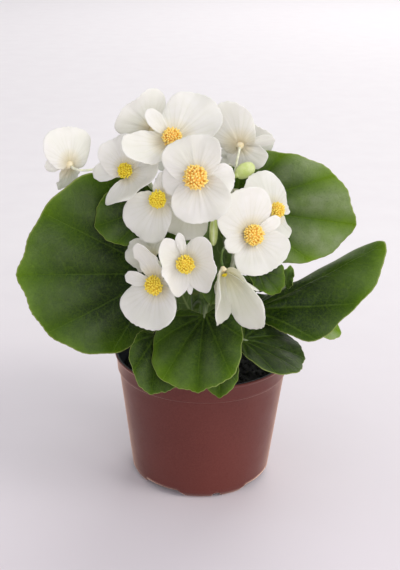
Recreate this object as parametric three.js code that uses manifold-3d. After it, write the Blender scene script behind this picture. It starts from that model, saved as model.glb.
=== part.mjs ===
// A potted wax begonia: a tapered plastic nursery pot filled with soil, leafy stems that stand in the soil,
// broad leaves on their petioles, and white four-tepalled blooms with yellow stamens.
// Millimetres, +Z up. The origin is the middle of the pot's flat base pad, on the surface it stands on.
// The side that faces the viewer in the reference view is -Y.
import * as THREE from "three";
import { mergeGeometries, mergeVertices } from "three/addons/utils/BufferGeometryUtils.js";
import Module from "manifold-3d";

const wasm = await Module();
wasm.setup();

// Driving dimensions of the pot and the soil.
const POT = {
  rimRadius: 50,
  height: 75,
  wall: 1.3,
  sides: 30,
  lipWidth: 1.6,
  lipHeight: 1.4,
  lipRound: 0.4,
  bandRadius: 47.7,
  bandZ: 64.6,
  bandStep: 0.8,
  baseRadius: 40.3,
  footRadius: 38.2,
  footWidth: 3,
  footHeight: 3.4,
  padRadius: 13,
  padSlope: 1.8,
  floorLift: 5,
};
const ARCH = { width: 28, topWidth: 21, height: 4, angle: -124 };
const DRAIN = { width: 4.8, topWidth: 3.6, height: 2.8, angle: -76 };
const FOOT_CUT = { inside: 8, outside: 4, below: 1 };
const SOIL = { wallZ: 62.4, crown: 4.5, lump: 1.1, sides: 15 };
const SEAT_GAP = 0.3;
const FLATTENING = 0.14;

// Driving dimensions of the plant.
const STEM = { radius: 2.6, sides: 7, steps: 6, forkShare: 0.97 };
const PEDUNCLE = { radius: 1.3, sides: 5, steps: 4 };
const PEDICEL = { radius: 0.85, sides: 4, steps: 3 };
const PETIOLE = { radius: 1.5, sides: 5, steps: 4, rise: 0.7, reach: 3 };
const LINK_HANDLE = 0.4;
const LEAF = { thickness: 1.0, sides: 26, rings: 2, fineRings: 3, smallSides: 18 };
const TEPAL = { thickness: 0.8, sides: 12, rings: 2, smallSides: 8, smallRings: 1, rootOut: 1.2 };
const RECEPTACLE = { radius: 2.4, backRadius: 1, depth: 2.2, crown: 0.6, sides: 5 };
const STAMENS = {
  radius: 5.9,
  middle: 2.9,
  rise: 4.7,
  spread: 1.95,
  stalk: 1.6,
  lift: 1,
  knob: 0.2,
  sides: 12,
  rings: 4,
};
const BUD = { flatness: 0.55, sink: 0.42, collar: 1.8, sides: 8, rings: 6 };

const materials = {
  pot: new THREE.MeshStandardMaterial({ color: 0x8a4a3c, roughness: 0.42, metalness: 0 }),
  soil: new THREE.MeshStandardMaterial({ color: 0x1d1813, roughness: 0.95, metalness: 0 }),
  stem: new THREE.MeshStandardMaterial({ color: 0x86a552, roughness: 0.4, metalness: 0 }),
  leaf: new THREE.MeshStandardMaterial({ color: 0x3f6a1d, roughness: 0.35, metalness: 0 }),
  youngLeaf: new THREE.MeshStandardMaterial({ color: 0x9fb75a, roughness: 0.4, metalness: 0 }),
  tepal: new THREE.MeshStandardMaterial({ color: 0xf4f3ee, roughness: 0.5, metalness: 0 }),
  stamen: new THREE.MeshStandardMaterial({ color: 0xf2b62c, roughness: 0.55, metalness: 0 }),
};

// Stems: the points that each passes from below the soil up to its top.
// A peduncle goes on from there to the fork that carries the named blooms.
const STEMS = [
  {
    name: "stem_left",
    path: [[-11, -4, 30], [-14, -5, 90], [-20, -7, 130], [-25, -8, 164]],
    fork: [-33, -7, 181],
    blooms: ["far_left", "upper_left", "top_left"],
  },
  {
    name: "stem_right",
    path: [[12, -3, 30], [13, -4, 90], [13, -7, 130], [12, -9, 156]],
    fork: [14, -12, 172],
    blooms: ["top_right", "right_side", "bud_right"],
  },
  {
    name: "stem_front",
    path: [[-2, -14, 30], [-3, -19, 90], [-5, -22, 125], [-7, -23, 150]],
    fork: [-10, -23, 184],
    blooms: ["top_centre", "centre", "left_centre", "under_centre"],
  },
  {
    name: "stem_front_right",
    path: [[8, -17, 30], [12, -25, 85], [13, -29, 112], [14, -31, 130]],
    fork: [16, -36, 147],
    blooms: ["right_centre", "low_right", "bud_centre"],
  },
  {
    name: "stem_front_left",
    path: [[-10, -18, 30], [-14, -27, 85], [-16, -32, 112], [-17, -35, 122]],
    fork: [-17, -42, 134],
    blooms: ["low_centre", "low_left", "low_behind"],
  },
  {
    name: "stem_back",
    path: [[1, 11, 30], [1, 15, 90], [2, 19, 130], [3, 21, 158]],
    fork: [2, 22, 172],
    blooms: ["back_left", "back_right"],
  },
];

// Leaves: root is where the petiole meets the blade, tip is the far end of the midrib.
// roll lifts the blade's left side, bend curves the midrib down, and cup curves the left and right halves.
// stem and share say where the petiole grows.
const LEAF_SHAPE = {
  centre: 0.4,
  lobe: 5,
  skew: 0,
  squareness: 2.1,
  point: 0.06,
  tooth: 0.01,
  teeth: 14,
  neck: 1,
  fold: 7,
  wave: 1.5,
  waves: 5,
  phase: 0,
};
const LEAVES = [
  {
    name: "leaf_left_large", stem: "stem_left", share: 0.72, fine: true,
    root: [-22, -18, 127], tip: [-96, -45, 135], roll: -78, width: 104, bend: 4, cup: [-6, -3],
    centre: 0.43, lobe: 15, squareness: 2, skew: -0.12, point: 0.07, wave: 2,
  },
  {
    name: "leaf_left_upper", stem: "stem_front", share: 0.86, small: true,
    root: [-26, -30, 168], tip: [-57, -31, 157], roll: -78, width: 36, bend: 10, cup: [2, 7], centre: 0.29,
  },
  {
    name: "leaf_right_upper", stem: "stem_right", share: 0.93, fine: true,
    root: [16, 9, 157], tip: [84, 5, 149], roll: 76, width: 67, bend: 24, cup: [-5, 1],
    centre: 0.32, lobe: 14, squareness: 2.3, skew: 0.11, point: 0.09,
  },
  {
    name: "leaf_right_long", stem: "stem_right", share: 0.55, fine: true,
    root: [27, -25, 110], tip: [99, -3, 142], roll: 9, width: 67, bend: -8, cup: [-16, -9], fold: -27,
    centre: 0.28, lobe: 2, squareness: 1.75,
  },
  {
    name: "leaf_front_centre", stem: "stem_front", share: 0.66, fine: true,
    root: [1, -49, 117], tip: [-2, -80, 87], roll: 14, width: 52, bend: 27, cup: [-16, -10],
    centre: 0.47, lobe: 9, squareness: 2.25, skew: -0.08,
  },
  {
    name: "leaf_front_left_low", stem: "stem_front_left", share: 0.72, small: true,
    root: [-24, -46, 104], tip: [-26, -71, 81], roll: -30, width: 35, bend: 22, cup: [-10, -9],
    centre: 0.46, squareness: 2, skew: 0.09,
  },
  {
    name: "leaf_front_low", stem: "stem_front_right", share: 0.5, small: true,
    root: [10, -51, 98], tip: [9, -66, 77], roll: 9, width: 22, bend: 20, cup: [-10, -10], centre: 0.36,
  },
  {
    name: "leaf_rim_right", stem: "stem_front_right", share: 0.62, small: true,
    root: [21, -43, 100], tip: [55, -40, 88], roll: 17, width: 45, skew: -0.16, bend: 18, cup: [-12, 2],
    wave: 0.8,
  },
  {
    name: "leaf_right_small", stem: "stem_right", share: 0.75, small: true,
    root: [27, -34, 137], tip: [40, -39, 125], roll: 43, width: 21, bend: 9, cup: [6, 7], skew: 0.13,
  },
  {
    name: "leaf_young_right", stem: "stem_right", share: 0.72, small: true, young: true,
    root: [43.5, -26, 124], tip: [45.5, -26, 136], roll: 90, width: 9, bend: -20, cup: [50, 40],
  },
  {
    name: "leaf_right_low_back", stem: "stem_right", share: 0.4,
    root: [28, 14, 95], tip: [84, 30, 73], roll: 20, width: 36, bend: 25, cup: [-10, -10],
  },
  {
    name: "leaf_back_left", stem: "stem_back", share: 0.7,
    root: [-22, 18, 118], tip: [-68, 52, 102], roll: 10, width: 60, bend: 30, cup: [-10, -10],
  },
  {
    name: "leaf_back_centre", stem: "stem_back", share: 0.6,
    root: [-4, 38, 124], tip: [-8, 88, 98], roll: 0, width: 60, bend: 35, cup: [-10, -10],
  },
  {
    name: "leaf_back_right", stem: "stem_back", share: 0.75,
    root: [18, 34, 130], tip: [54, 66, 108], roll: -10, width: 52, bend: 30, cup: [-10, -10],
  },
  {
    name: "leaf_back_upper", stem: "stem_back", share: 0.93, small: true,
    root: [-8, 34, 158], tip: [-20, 66, 156], roll: 5, width: 36, bend: 25, cup: [0, 0],
  },
  {
    name: "leaf_inner_centre", stem: "stem_back", share: 0.46,
    root: [-3, 7, 86], tip: [-3, 10, 159], roll: 180, width: 48, bend: 8, cup: [-6, -6],
  },
  {
    name: "leaf_inner_right", stem: "stem_right", share: 0.62, small: true,
    root: [29, -7.5, 113], tip: [29, -8.5, 135], roll: 180, width: 13, bend: 12, cup: [-8, -8],
  },
  {
    name: "leaf_young_front", stem: "stem_front_right", share: 0.75, small: true, young: true,
    root: [8.5, -43, 133], tip: [3.6, -49.5, 121], roll: 0, width: 13, bend: 22, cup: [25, 25],
  },
];

// Small leaves low on the stems and at their backs. Each is one body with its stem.
const STEM_LEAVES = [
  {
    stem: "stem_left", share: 0.5, small: true,
    root: [-29, 4, 103], tip: [-64, 10, 93], roll: 8, width: 36, bend: 26, cup: [-8, -8],
  },
  {
    stem: "stem_left", share: 0.78, small: true,
    root: [-30, 9, 141], tip: [-50, 34, 133], roll: -8, width: 34, bend: 24, cup: [-6, -6],
  },
  {
    stem: "stem_back", share: 0.42, small: true,
    root: [-8, 26, 98], tip: [-34, 58, 84], roll: 6, width: 38, bend: 26, cup: [-8, -8],
  },
  {
    stem: "stem_back", share: 0.86, small: true,
    root: [13, 29, 150], tip: [38, 44, 142], roll: -6, width: 30, bend: 22, cup: [-6, -6],
  },
  {
    stem: "stem_right", share: 0.55, small: true,
    root: [28, 14, 107], tip: [43, 40, 98], roll: -6, width: 30, bend: 24, cup: [-8, -8],
  },
];

// Blooms: the middle of the receptacle, the direction that the bloom faces, the size of its dome of stamens,
// and its tepals. A tepal is [clock angle as its viewer sees it, lift towards the viewer, length, width].
const BLOOMS = [
  {
    name: "far_left", at: [-70, -22, 187], facing: [128, 12], dome: 0.7,
    large: [[-5, 18, 19, 31, { bend: -10, lobe: 5 }], [197, 17, 22, 15, { bend: -25 }]],
    small: [[95, 28, { length: 12 }], [-85, 28, { length: 12 }]],
  },
  {
    name: "upper_left", at: [-39.6, -31.5, 186.6], facing: [-108, 23], dome: 0.65,
    large: [[-30, 10, 18, 24, { squareness: 2.8 }], [140, 12, 19, 36, { bend: -48, lobe: 0 }]],
    small: [[60, 0], [-97, 3, { length: 18, width: 11.5 }]],
  },
  {
    name: "left_centre", at: [-22, -48, 177.2], facing: [-112, 15], dome: 0.75,
    large: [[25, 2, 14, 16, { bend: -4 }], [-150, 4, 22, 29]],
    small: [[95, -10, { length: 12 }], [-100, -6, { length: 10 }]],
  },
  {
    name: "top_left", at: [-28, -6, 203], facing: [122, 18], dome: 0.7,
    large: [[40, 9, 21.5, 33], [205, 10, 18, 25]],
    small: [[105, 28, { length: 12 }], [-60, 28, { length: 12 }]],
  },
  {
    name: "top_centre", at: [-17, -32, 203], facing: [-93, 42], dome: 0.83,
    large: [[38, 0, 29, 33, { bend: -6, wave: 1.2 }], [-120, 3, 29, 22, { bend: -50 }]],
    small: [[140, 0], [-46, 24, { length: 19, width: 10, bend: -4 }]],
  },
  {
    name: "top_right", at: [18, -6, 195], facing: [81, 26], dome: 0.7,
    large: [[29, 12, 26, 29, { lobe: 7 }], [200, 10, 18, 24]],
    small: [[110, 28, { length: 12 }], [-79, 9, { length: 18, width: 9 }]],
  },
  {
    name: "centre", at: [-4, -54, 190], facing: [-103, 16], dome: 1,
    large: [[-18, 3, 20, 32], [164, 4, 21.5, 32, { wave: 1 }]],
    small: [[91, -3, { length: 17.5, width: 18, wave: 0.8 }], [-100, -1, { length: 17.5, width: 17 }]],
  },
  {
    name: "under_centre", at: [-6.6, -39.3, 173.6], facing: [-93, 7], dome: 0.75,
    large: [[196, -4, 20, 25, { bend: 18 }], [0, 4, 11, 13]], small: [[90, -6], [-90, -6]],
  },
  {
    name: "right_centre", at: [23.2, -47, 159], facing: [-69, 17], dome: 0.9,
    large: [[-24, 20, 26, 33, { bend: -7 }], [159, 13, 20, 33, { bend: -8 }]],
    small: [[65, 15, { length: 16.5, width: 8.5 }], [-106, 17, { length: 16.5, width: 11.5 }]],
  },
  {
    name: "right_side", at: [36, -26, 165], facing: [-60, 33], dome: 0.7,
    large: [[-17, -1, 22, 26, { bend: -7, lobe: 8 }], [204, 6, 18, 19, { bend: -44 }]],
    small: [[80, 0, { length: 9 }], [-90, 5]],
  },
  {
    name: "low_centre", at: [-9, -67, 151], facing: [-92, 6], dome: 0.75,
    large: [[-105, 10, 13.5, 32, { bend: -54 }], [87, 13, 18, 30, { bend: -50 }]],
    small: [[-13, 12, { length: 15, width: 6 }], [170, 10, { length: 15, width: 4.5 }]],
  },
  {
    name: "low_left", at: [-23, -60, 137], facing: [-118, 8], dome: 0.8,
    large: [[187, 18, 22.5, 33, { bend: -8 }], [-15, 15, 25, 13, { bend: -34 }]],
    small: [[-83, 18, { length: 16.5 }], [75, -10, { length: 10 }]],
  },
  {
    name: "low_behind", at: [-27, -42, 143], facing: [-112, 8], dome: 0.6,
    large: [[-68, 7, 14, 17], [160, 4, 10, 12]],
    small: [[12, 4, { length: 15, width: 12 }], [-120, 4, { length: 9 }]],
  },
  {
    name: "low_right", at: [9.4, -66, 146.8], facing: [-62, -59], dome: 0.22,
    large: [[-130, 64, 27, 31, { bend: -16, cup: [30, 30] }], [94, 60, 34, 32, { bend: -19, cup: [13, 13] }]],
    small: [[50, 44, { length: 20, width: 10, bend: -4 }], [175, 30, { bend: -40 }]],
  },
  {
    name: "back_left", at: [-16, 34, 186], facing: [110, 25], dome: 0.85,
    large: [[10, 10, 22, 28], [-170, 10, 22, 28]], small: [[90, 10], [-90, 10]],
  },
  {
    name: "back_right", at: [22, 30, 180], facing: [70, 20], dome: 0.8,
    large: [[-20, 10, 22, 28], [160, 10, 22, 28]], small: [[90, 10], [-90, 10]],
  },
];
// Buds: the base of each closed bud and the way it points.
const BUDS = [
  { name: "bud_right", at: [16.5, -16.5, 182], facing: [8, 28], length: 11, width: 8.5 },
  { name: "bud_centre", at: [4.5, -42, 165], facing: [-90, -72], length: 14, width: 8 },
];
const LARGE_TEPAL = {
  centre: 0.45, lobe: 3.3, skew: 0, squareness: 2.2, point: 0, tooth: 0, teeth: 1, neck: 0.9,
  fold: 4, wave: 0.7, waves: 5, phase: 0, bend: 12, cup: [8, 8],
};
const SMALL_TEPAL = {
  ...LARGE_TEPAL, centre: 0.55, lobe: 0, neck: 0.5, fold: 6, wave: 0.2, bend: 6, length: 15, width: 9,
};

const part = new THREE.Group();
const degrees = THREE.MathUtils.degToRad;
const vec = (p) => new THREE.Vector3(...p);

// The points and faces of a closed geometry, with shared points merged and collapsed faces dropped.
function closed(geometry) {
  const bare = geometry.clone();
  bare.deleteAttribute("normal");
  bare.deleteAttribute("uv");
  const merged = mergeVertices(bare, 1e-4);
  const corners = merged.index.array;
  const kept = [];
  for (let i = 0; i < corners.length; i += 3) {
    const [a, b, c] = corners.slice(i, i + 3);
    if (a !== b && b !== c && a !== c) kept.push(a, b, c);
  }
  merged.setIndex(kept);
  return merged;
}

function solidOf(geometry) {
  const { attributes, index } = closed(geometry);
  const mesh = new wasm.Mesh({
    numProp: 3,
    vertProperties: new Float32Array(attributes.position.array),
    triVerts: new Uint32Array(index.array),
  });
  return new wasm.Manifold(mesh);
}

// Adds a solid worked out in the part's frame as a mesh that is placed by a frame of its own.
// Points that stand out less than the flattening are left out of its faces.
function addPiece(name, solid, material, frame = new THREE.Matrix4()) {
  const made = solid.asOriginal().simplify(FLATTENING).getMesh();
  const geometry = new THREE.BufferGeometry();
  geometry.setAttribute("position", new THREE.BufferAttribute(made.vertProperties, 3));
  geometry.setIndex(new THREE.BufferAttribute(made.triVerts, 1));
  geometry.applyMatrix4(frame.clone().invert());
  geometry.computeVertexNormals();
  const mesh = new THREE.Mesh(geometry, material);
  mesh.name = name;
  frame.decompose(mesh.position, mesh.quaternion, mesh.scale);
  part.add(mesh);
}

// A solid of revolution about Z. Its [radius, height] points go up the outside and back down the inside.
function turned(profile, sides) {
  const points = profile.map(([r, z]) => new THREE.Vector2(r, z));
  return new THREE.LatheGeometry(points, sides).rotateX(Math.PI / 2);
}

// A rod of even radius along a curve.
function rod(curve, { radius, sides, steps }, extra = 0) {
  const ring = [];
  for (let i = 0; i < sides; i++) {
    const turn = (2 * Math.PI * i) / sides;
    ring.push(new THREE.Vector2(Math.cos(turn), Math.sin(turn)).multiplyScalar(radius + extra));
  }
  const options = { steps, bevelEnabled: false, extrudePath: curve };
  return solidOf(new THREE.ExtrudeGeometry(new THREE.Shape(ring), options));
}

// A smooth path that leaves one point in one direction and arrives at another in another direction.
function linkPath(start, leaving, end, arriving) {
  const handle = LINK_HANDLE * start.distanceTo(end);
  const first = start.clone().addScaledVector(leaving, handle);
  const last = end.clone().addScaledVector(arriving, -handle);
  return new THREE.CubicBezierCurve3(start, first, last, end);
}

// Angles about a blade's centre that its point and its notch take up, in radians,
// and the shares of its half width and of its length at which the fold and the widening end.
const BLADE = { point: 0.2, notch: 0.3, fold: 0.12, widening: 0.7, steps: 8 };

// Distance from a blade's centre to its margin, at an angle from the midrib.
function marginRadius(blade, angle) {
  const back = blade.centre * blade.length;
  const reach = Math.cos(angle) > 0 ? blade.length - back : back + blade.lobe;
  const side = (blade.width / 2) * (1 + Math.sign(Math.sin(angle)) * blade.skew);
  const along = Math.abs(Math.cos(angle) / reach) ** blade.squareness;
  const across = Math.abs(Math.sin(angle) / side) ** blade.squareness;
  const round = (along + across) ** (-1 / blade.squareness);
  const tip = Math.exp(-((angle / BLADE.point) ** 2));
  const notch = Math.exp(-(((Math.PI - Math.abs(angle)) / BLADE.notch) ** 2));
  const pointed = (round * (1 + blade.point * tip)) / (1 + blade.point);
  const radius = pointed + (back - pointed) * notch;
  return radius * (1 + blade.tooth * Math.cos(blade.teeth * angle) * (1 - notch));
}

// Lifts a flat point of the blade: its halves fold and cup about the midrib, its margin ripples,
// and its length bends down.
function liftPoint(blade, x, y, share, angle) {
  const half = blade.width / 2;
  const cup = degrees(blade.cup[y > 0 ? 0 : 1]);
  const step = Math.abs(y) / BLADE.steps;
  let across = 0;
  let height = 0;
  for (let i = 0; i < BLADE.steps; i++) {
    const out = (step * (i + 0.5)) / half;
    const tilt = degrees(blade.fold) * Math.tanh(out / BLADE.fold) + cup * out;
    across += step * Math.cos(tilt);
    height += step * Math.sin(tilt);
  }
  height += blade.wave * share ** 4 * Math.sin(blade.waves * angle + blade.phase);
  const bend = degrees(blade.bend);
  const turn = (bend * x) / blade.length;
  const arc = blade.length / bend;
  return new THREE.Vector3(
    (arc + height) * Math.sin(turn),
    Math.sign(y) * across,
    (arc + height) * Math.cos(turn) - arc,
  );
}

// A blade's flat point at a share of the way from its centre to its margin, then lifted, with its normal.
function bladePoint(blade, share, angle) {
  const radius = share * marginRadius(blade, angle);
  const x = blade.centre * blade.length + radius * Math.cos(angle);
  const widening = THREE.MathUtils.smoothstep(x, 0, BLADE.widening * blade.length);
  const y = radius * Math.sin(angle) * (blade.neck + (1 - blade.neck) * widening);
  const step = 0.05;
  const point = liftPoint(blade, x, y, share, angle);
  const ahead = liftPoint(blade, x + step, y, share, angle).sub(point);
  const leftward = liftPoint(blade, x, y + step, share, angle).sub(point);
  return { point, normal: ahead.cross(leftward).normalize() };
}

// A closed disc of unit radius and thickness 2, its two faces split into triangles alike.
function unitDisc(rings, sides) {
  const upper = new THREE.RingGeometry(0, 1, sides, rings).translate(0, 0, 1);
  const lower = new THREE.RingGeometry(0, 1, sides, rings).translate(0, 0, -1);
  lower.index.array.reverse();
  const rim = new THREE.CylinderGeometry(1, 1, 2, sides, 1, true);
  rim.rotateX(Math.PI / 2).rotateZ(Math.PI / 2);
  return closed(mergeGeometries([upper, lower, rim]));
}

// A leaf's or a tepal's blade, with its root at the origin and its midrib along +X.
function bladeSolid(blade, thickness, rings, sides) {
  const disc = unitDisc(rings, sides);
  const place = disc.attributes.position;
  for (let i = 0; i < place.count; i++) {
    const flat = new THREE.Vector2(place.getX(i), place.getY(i));
    const share = 1 - (1 - Math.min(1, flat.length())) ** 1.5;
    const { point, normal } = bladePoint(blade, share, Math.atan2(flat.y, flat.x));
    point.addScaledVector(normal, (place.getZ(i) * thickness) / 2);
    place.setXYZ(i, ...point);
  }
  return solidOf(disc);
}

// The frame of a leaf: its midrib leaves the root so that the bent blade ends at the tip.
function leafFrame(leaf) {
  const root = vec(leaf.root);
  const chord = vec(leaf.tip).sub(root).normalize();
  const level = new THREE.Vector3(0, 0, 1).cross(chord).normalize();
  const left = level.applyAxisAngle(chord, degrees(leaf.roll));
  const ahead = chord.clone().applyAxisAngle(left, -degrees(leaf.bend) / 2);
  const up = ahead.clone().cross(left);
  return new THREE.Matrix4().makeBasis(ahead, left, up).setPosition(root);
}

function axisOf(frame, index) {
  return new THREE.Vector3().setFromMatrixColumn(frame, index);
}

// The frame of a bloom: +Z is the way it faces, +X is up as its viewer sees it, and -Y is to their right.
function bloomFrame(bloom) {
  const [azimuth, elevation] = bloom.facing.map(degrees);
  const facing = new THREE.Vector3(
    Math.cos(elevation) * Math.cos(azimuth),
    Math.cos(elevation) * Math.sin(azimuth),
    Math.sin(elevation),
  );
  const up = new THREE.Vector3(0, 0, 1).projectOnPlane(facing).normalize();
  const left = facing.clone().cross(up);
  return new THREE.Matrix4().makeBasis(up, left, facing).setPosition(vec(bloom.at));
}

function tepalSolid(shape, [clock, lift], rings, sides) {
  const blade = bladeSolid(shape, TEPAL.thickness, rings, sides);
  const frame = new THREE.Matrix4()
    .makeRotationZ(-degrees(clock))
    .multiply(new THREE.Matrix4().makeTranslation(TEPAL.rootOut, 0, 0))
    .multiply(new THREE.Matrix4().makeRotationY(-degrees(lift)));
  return blade.transform(frame.elements);
}

// The cone that a bloom's or a bud's tepals grow from.
function receptacleSolid(radius) {
  const { backRadius, depth, crown, sides } = RECEPTACLE;
  return solidOf(turned([[0, -depth], [backRadius, -depth], [radius, 0], [0, crown]], sides));
}

// The white part of a bloom: its receptacle, two large tepals and two small ones.
function tepalsSolid(bloom) {
  let body = receptacleSolid(RECEPTACLE.radius);
  bloom.large.forEach(([clock, lift, length, width, extra], i) => {
    const shape = { ...LARGE_TEPAL, length, width, phase: 2 * i + bloom.at[0], ...extra };
    body = body.add(tepalSolid(shape, [clock, lift], TEPAL.rings, TEPAL.sides));
  });
  bloom.small.forEach(([clock, lift, extra], i) => {
    const shape = { ...SMALL_TEPAL, phase: i, ...extra };
    body = body.add(tepalSolid(shape, [clock, lift], TEPAL.smallRings, TEPAL.smallSides));
  });
  return body;
}

// A closed bud: two tepals pressed together, seen as one flattened body on its receptacle.
function budSolid({ length, width }) {
  const body = new THREE.SphereGeometry(0.5, BUD.sides, BUD.rings)
    .rotateX(Math.PI / 2)
    .scale(width, width * BUD.flatness, length)
    .translate(0, 0, length * BUD.sink);
  return solidOf(body).add(receptacleSolid(BUD.collar));
}

// The yellow dome of stamens on its short column: every other point of the dome stands out as an anther.
function stamensSolid() {
  const { radius, middle, rise, stalk, knob, sides, rings } = STAMENS;
  const profile = [[0, 0], [stalk, 0]];
  for (let i = rings; i >= 0; i--) {
    const polar = (STAMENS.spread * i) / rings;
    profile.push([radius * Math.sin(polar), middle + rise * Math.cos(polar)]);
  }
  const geometry = turned(profile, sides);
  const place = geometry.attributes.position;
  for (let i = 0; i < place.count; i++) {
    const ring = i % profile.length;
    const spoke = Math.floor(i / profile.length);
    const anther = (spoke + ring) % 2 === 0;
    if (ring < 2 || ring === profile.length - 1 || anther) continue;
    const out = 1 - knob;
    place.setXYZ(i, place.getX(i) * out, place.getY(i) * out, middle + (place.getZ(i) - middle) * out);
  }
  return solidOf(geometry);
}

// The pot, with arches and drain slots cut in its foot.
function potSolid() {
  const { rimRadius, height, wall, lipWidth, lipRound, bandRadius, bandZ, baseRadius, footRadius } = POT;
  const { padRadius, padSlope, floorLift, footWidth } = POT;
  const lipZ = height - POT.lipHeight;
  const stepRadius = bandRadius + POT.bandStep;
  const footInside = footRadius - footWidth;
  const profile = [
    [0, 0],
    [padRadius, 0],
    [padRadius + padSlope, floorLift],
    [footInside - 1, floorLift],
    [footInside, 0],
    [footRadius, 0],
    [baseRadius, POT.footHeight],
    [bandRadius, bandZ],
    [stepRadius, bandZ + lipRound],
    [rimRadius - lipRound, lipZ],
    [rimRadius, lipZ + lipRound],
    [rimRadius, height],
    [rimRadius - lipWidth, height],
    [rimRadius - lipWidth - lipRound, lipZ],
    [stepRadius - wall, bandZ + lipRound],
    [bandRadius - wall, bandZ - lipRound],
    [baseRadius - wall, floorLift + wall],
    [padRadius + padSlope - lipRound, floorLift + wall],
    [padRadius - lipRound, wall],
    [0, wall],
  ];
  let body = solidOf(turned(profile, POT.sides));
  for (let turn = 0; turn < 360; turn += 90) {
    body = body.subtract(footCut(ARCH, ARCH.angle + turn));
    body = body.subtract(footCut(DRAIN, DRAIN.angle + turn));
  }
  return body;
}

// A radial cutter under the pot's edge, narrower at its top.
function footCut({ width, topWidth, height }, angle) {
  const { inside, outside, below } = FOOT_CUT;
  const [foot, top] = [width / 2, topWidth / 2];
  const outline = [[-foot, -below], [foot, -below], [foot, 0], [top, height], [-top, height], [-foot, 0]];
  const shape = new THREE.Shape(outline.map(([x, y]) => new THREE.Vector2(x, y)));
  const cutter = new THREE.ExtrudeGeometry(shape, { depth: inside + outside, bevelEnabled: false });
  cutter.translate(0, 0, POT.footRadius - inside).rotateX(Math.PI / 2);
  return solidOf(cutter.rotateZ(degrees(angle) + Math.PI / 2));
}

// The soil: a plug that fills the pot, with a crowned, lumpy top and a plain hole for each stem.
function soilSolid(holes) {
  const inset = POT.wall + SEAT_GAP + 0.1;
  const floor = POT.floorLift + POT.wall + SEAT_GAP;
  const flare = (POT.bandRadius - POT.baseRadius) / (POT.bandZ - POT.footHeight);
  const wallAt = (z) => POT.baseRadius + flare * (z - POT.footHeight) - inset;
  const top = [1, 0.8, 0.55, 0.28, 0].map((share) => [
    share * wallAt(SOIL.wallZ),
    SOIL.wallZ + SOIL.crown * (1 - share ** 2),
  ]);
  const geometry = turned([[0, floor], [wallAt(floor), floor], ...top], SOIL.sides);
  const place = geometry.attributes.position;
  for (let i = 0; i < place.count; i++) {
    const [x, y, z] = [place.getX(i), place.getY(i), place.getZ(i)];
    const lump = Math.sin(0.31 * x + 1) * Math.cos(0.27 * y) + 0.6 * Math.sin(0.7 * x - 0.5 * y);
    if (z >= SOIL.wallZ) place.setZ(i, z + SOIL.lump * lump);
  }
  return holes.reduce((soil, hole) => soil.subtract(hole), solidOf(geometry));
}

// A stem with its peduncle, a pedicel from the fork to the back of each bloom, and its small leaves.
function stemPiece(stem, blooms) {
  const curve = new THREE.CatmullRomCurve3(stem.path.map(vec));
  const start = curve.getPointAt(STEM.forkShare);
  const leaving = curve.getTangentAt(STEM.forkShare);
  const fork = vec(stem.fork);
  const arriving = fork.clone().sub(start).normalize();
  const past = fork.clone().add(arriving);
  let body = rod(curve, STEM).add(rod(linkPath(start, leaving, past, arriving), PEDUNCLE));
  for (const bloom of stem.blooms) {
    const frame = blooms.get(bloom);
    const facing = axisOf(frame, 2);
    const back = axisOf(frame, 3).addScaledVector(facing, -RECEPTACLE.depth - SEAT_GAP);
    const outward = back.clone().sub(fork).normalize().add(arriving).normalize();
    body = body.add(rod(linkPath(fork, outward, back, facing), PEDICEL));
  }
  for (const leaf of STEM_LEAVES) {
    if (leaf.stem === stem.name) body = body.add(leafSolid(leaf, curve));
  }
  return { body, curve, clearance: rod(curve, STEM, SEAT_GAP) };
}

// A leaf: its blade and its petiole, which starts inside the stem that it grows from.
function leafSolid(leaf, stemCurve) {
  const frame = leafFrame(leaf);
  const chord = vec(leaf.tip).distanceTo(vec(leaf.root));
  const half = degrees(leaf.bend) / 2;
  const shape = { ...LEAF_SHAPE, ...leaf, length: (chord * half) / Math.sin(half) };
  const rings = leaf.fine ? LEAF.fineRings : LEAF.rings;
  const sides = leaf.small ? LEAF.smallSides : LEAF.sides;
  const blade = bladeSolid(shape, LEAF.thickness, rings, sides);
  const axis = stemCurve.getPointAt(leaf.share);
  const root = vec(leaf.root);
  const ahead = axisOf(frame, 0);
  const leaving = root.clone().sub(axis).normalize();
  leaving.z += PETIOLE.rise;
  leaving.normalize();
  const end = root.clone().addScaledVector(ahead, PETIOLE.reach);
  const petiole = rod(linkPath(axis, leaving, end, ahead), PETIOLE);
  return blade.transform(frame.elements).add(petiole);
}

const bloomFrames = new Map([...BLOOMS, ...BUDS].map((bloom) => [bloom.name, bloomFrame(bloom)]));
const stems = new Map(STEMS.map((stem) => [stem.name, stemPiece(stem, bloomFrames)]));

addPiece("pot", potSolid(), materials.pot);
addPiece("soil", soilSolid([...stems.values()].map((stem) => stem.clearance)), materials.soil);
for (const [name, stem] of stems) addPiece(name, stem.body, materials.stem);
for (const leaf of LEAVES) {
  const material = leaf.young ? materials.youngLeaf : materials.leaf;
  const { curve, clearance } = stems.get(leaf.stem);
  addPiece(leaf.name, leafSolid(leaf, curve).subtract(clearance), material, leafFrame(leaf));
}
const stamens = stamensSolid();
for (const bloom of BLOOMS) {
  const frame = bloomFrames.get(bloom.name);
  const raised = frame.clone().multiply(new THREE.Matrix4().makeTranslation(0, 0, STAMENS.lift + SEAT_GAP));
  const dome = raised.clone().scale(new THREE.Vector3().setScalar(bloom.dome));
  const tepals = tepalsSolid(bloom).transform(frame.elements);
  addPiece(`bloom_${bloom.name}_tepals`, tepals, materials.tepal, frame);
  addPiece(`bloom_${bloom.name}_stamens`, stamens.transform(dome.elements), materials.stamen, raised);
}
for (const bud of BUDS) {
  const frame = bloomFrames.get(bud.name);
  addPiece(bud.name, budSolid(bud).transform(frame.elements), materials.youngLeaf, frame);
}

export default part;
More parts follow.
